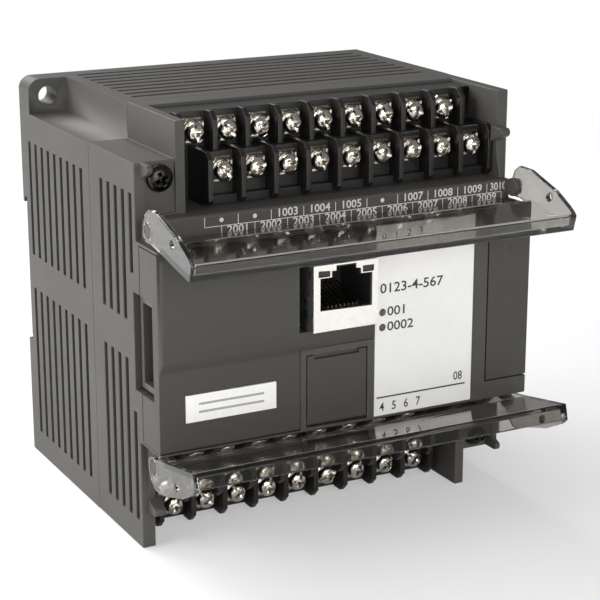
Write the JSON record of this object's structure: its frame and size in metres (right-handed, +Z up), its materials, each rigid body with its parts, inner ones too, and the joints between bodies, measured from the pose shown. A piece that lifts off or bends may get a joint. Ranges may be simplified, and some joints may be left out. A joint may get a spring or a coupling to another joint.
{
  "type": "programmable controller expansion module",
  "caption": "DIN-rail electronics module with recessed screw-terminal rows at top and bottom, each under a hinged smoked cover, a network socket and a labelled front panel.",
  "frame": {"origin": "centre of the DIN-rail seat, the floor of the channel across the back", "axes": "+Z up, -Y out of the front panel, +X to the right seen from the front"},
  "size_m": [0.093, 0.0995, 0.095],
  "materials": {
    "casing_plastic": "fine matt texture",
    "panel_plastic": "fine matt texture",
    "nameplate_white": "printed film",
    "label_film": "printed silver-white film",
    "light_pipe": "clear moulded, unlit",
    "connector_plastic": "moulded",
    "circuit_board": "solder mask on glass-fibre laminate",
    "chip_plastic": "moulded epoxy",
    "capacitor_can": "sleeved can",
    "screw_steel": "zinc plated",
    "jack_nickel": "nickel plated sheet",
    "contact_brass": "plated",
    "switch_red": "moulded",
    "slider_white": "moulded",
    "terminal_plastic": "glossy black moulding",
    "terminal_nickel": "nickel plated",
    "smoked_clear": "smoke-tinted transparent moulding",
    "black_steel": "black oxide",
    "latch_plastic": "moulded"
  },
  "bodies": {
    "casing": {"rear_casing": "casing_plastic", "front_casing": "casing_plastic", "front_cover": "panel_plastic", "nameplate": "nameplate_white", "face_label": "label_film", "status_leds": "light_pipe", "bus_socket_left": "connector_plastic", "bus_header_right": "connector_plastic", "main_board": "circuit_board", "front_board": "circuit_board", "board_link": "connector_plastic", "dc_converter": "chip_plastic", "capacitors": "capacitor_can", "main_board_chips": "chip_plastic", "front_board_chips": "chip_plastic", "main_board_screws": "screw_steel", "front_board_screws": "screw_steel", "jack_shell": "jack_nickel", "jack_insert": "connector_plastic", "jack_contacts": "contact_brass", "jack_leds": "light_pipe", "dip_switch": "switch_red", "upper_terminal_block": "terminal_plastic", "upper_terminal_contacts": "contact_brass", "upper_terminal_washers": "terminal_nickel", "upper_terminal_screws": "terminal_nickel", "lower_terminal_block": "terminal_plastic", "lower_terminal_contacts": "contact_brass", "lower_terminal_washers": "terminal_nickel", "lower_terminal_screws": "terminal_nickel", "casing_screws": "black_steel"},
    "upper_cover": {"upper_cover": "smoked_clear"},
    "lower_cover": {"lower_cover": "smoked_clear"},
    "port_door": {"port_door": "panel_plastic"},
    "expansion_port_cover": {"expansion_port_cover": "panel_plastic"},
    "rail_latch": {"rail_latch": "latch_plastic"},
    "dip_slider_1": {"dip_slider_1": "slider_white"},
    "dip_slider_2": {"dip_slider_2": "slider_white"},
    "dip_slider_3": {"dip_slider_3": "slider_white"},
    "dip_slider_4": {"dip_slider_4": "slider_white"}
  },
  "joints": [
    {"name": "upper_cover_hinge", "type": "hinge", "parent": "casing", "child": "upper_cover", "pos_m": [0, -0.0751, 0.0261], "axis": [-1, 0, 0], "range_deg": [0, 107]},
    {"name": "lower_cover_hinge", "type": "hinge", "parent": "casing", "child": "lower_cover", "pos_m": [0, -0.0751, -0.0261], "axis": [1, 0, 0], "range_deg": [0, 107]},
    {"name": "port_door_hinge", "type": "hinge", "parent": "casing", "child": "port_door", "pos_m": [-0.0039, -0.0787, -0.0206], "axis": [1, 0, 0], "range_deg": [0, 80]},
    {"name": "expansion_cover_pull", "type": "slide", "parent": "casing", "child": "expansion_port_cover", "axis": [0, -1, 0], "range_m": [0, 0.014]},
    {"name": "rail_latch_slide", "type": "slide", "parent": "casing", "child": "rail_latch", "axis": [0, 0, -1], "range_m": [0, 0.003], "stiffness_N_per_m": 800, "springref_m": -0.001},
    {"name": "dip_slider_1_slide", "type": "slide", "parent": "casing", "child": "dip_slider_1", "axis": [0, 0, 1], "range_m": [0, 0.0013]},
    {"name": "dip_slider_2_slide", "type": "slide", "parent": "casing", "child": "dip_slider_2", "axis": [0, 0, 1], "range_m": [0, 0.0013]},
    {"name": "dip_slider_3_slide", "type": "slide", "parent": "casing", "child": "dip_slider_3", "axis": [0, 0, 1], "range_m": [0, 0.0013]},
    {"name": "dip_slider_4_slide", "type": "slide", "parent": "casing", "child": "dip_slider_4", "axis": [0, 0, 1], "range_m": [0, 0.0013]}
  ]
}
